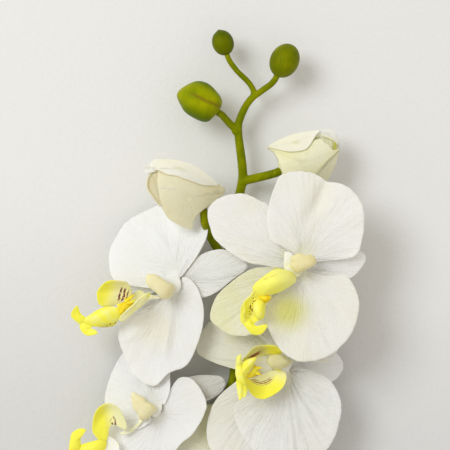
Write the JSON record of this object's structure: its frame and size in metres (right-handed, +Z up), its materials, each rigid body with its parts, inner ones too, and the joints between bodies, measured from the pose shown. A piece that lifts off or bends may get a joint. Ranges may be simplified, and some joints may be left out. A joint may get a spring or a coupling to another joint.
{
  "type": "moth orchid stem",
  "caption": "Cut moth orchid stem lying on a surface: open white blooms with yellow lips, half-open cream buds and green buds at its tip.",
  "frame": {"origin": "centre of the bounding box's bottom, on the surface that the stem lies on", "axes": "+Y along the stem towards the green buds at its tip, +Z up, and the open blooms face +Z"},
  "size_m": [0.1449, 0.4291, 0.0567],
  "materials": {
    "stem_green": "satin moulded plastic, olive green",
    "bud_green": "satin moulded plastic, mottled green",
    "cream_cloth": "matt pressed cloth, cream with a tan edge",
    "white_cloth": "matt pressed cloth, white with fine creases",
    "column_cream": "soft moulded plastic, pale cream",
    "lip_yellow": "soft moulded plastic, yellow with purple-brown streaks"
  },
  "bodies": {
    "root": {"stem": "stem_green", "small_green_bud": "bud_green", "round_green_bud": "bud_green", "large_green_bud": "bud_green", "left_cream_bud_sepals": "cream_cloth", "left_cream_bud_petals": "cream_cloth", "right_cream_bud_sepals": "cream_cloth", "right_cream_bud_petals": "cream_cloth", "bloom_a_sepals": "white_cloth", "bloom_a_petals": "white_cloth", "bloom_a_column": "column_cream", "bloom_a_lip": "lip_yellow", "bloom_b_sepals": "white_cloth", "bloom_b_petals": "white_cloth", "bloom_b_column": "column_cream", "bloom_b_lip": "lip_yellow", "bloom_c_sepals": "white_cloth", "bloom_c_petals": "white_cloth", "bloom_c_column": "column_cream", "bloom_c_lip": "lip_yellow", "bloom_d_sepals": "white_cloth", "bloom_d_petals": "white_cloth", "bloom_d_column": "column_cream", "bloom_d_lip": "lip_yellow", "bloom_e_sepals": "white_cloth", "bloom_e_petals": "white_cloth", "bloom_e_column": "column_cream", "bloom_e_lip": "lip_yellow"}
  },
  "joints": []
}
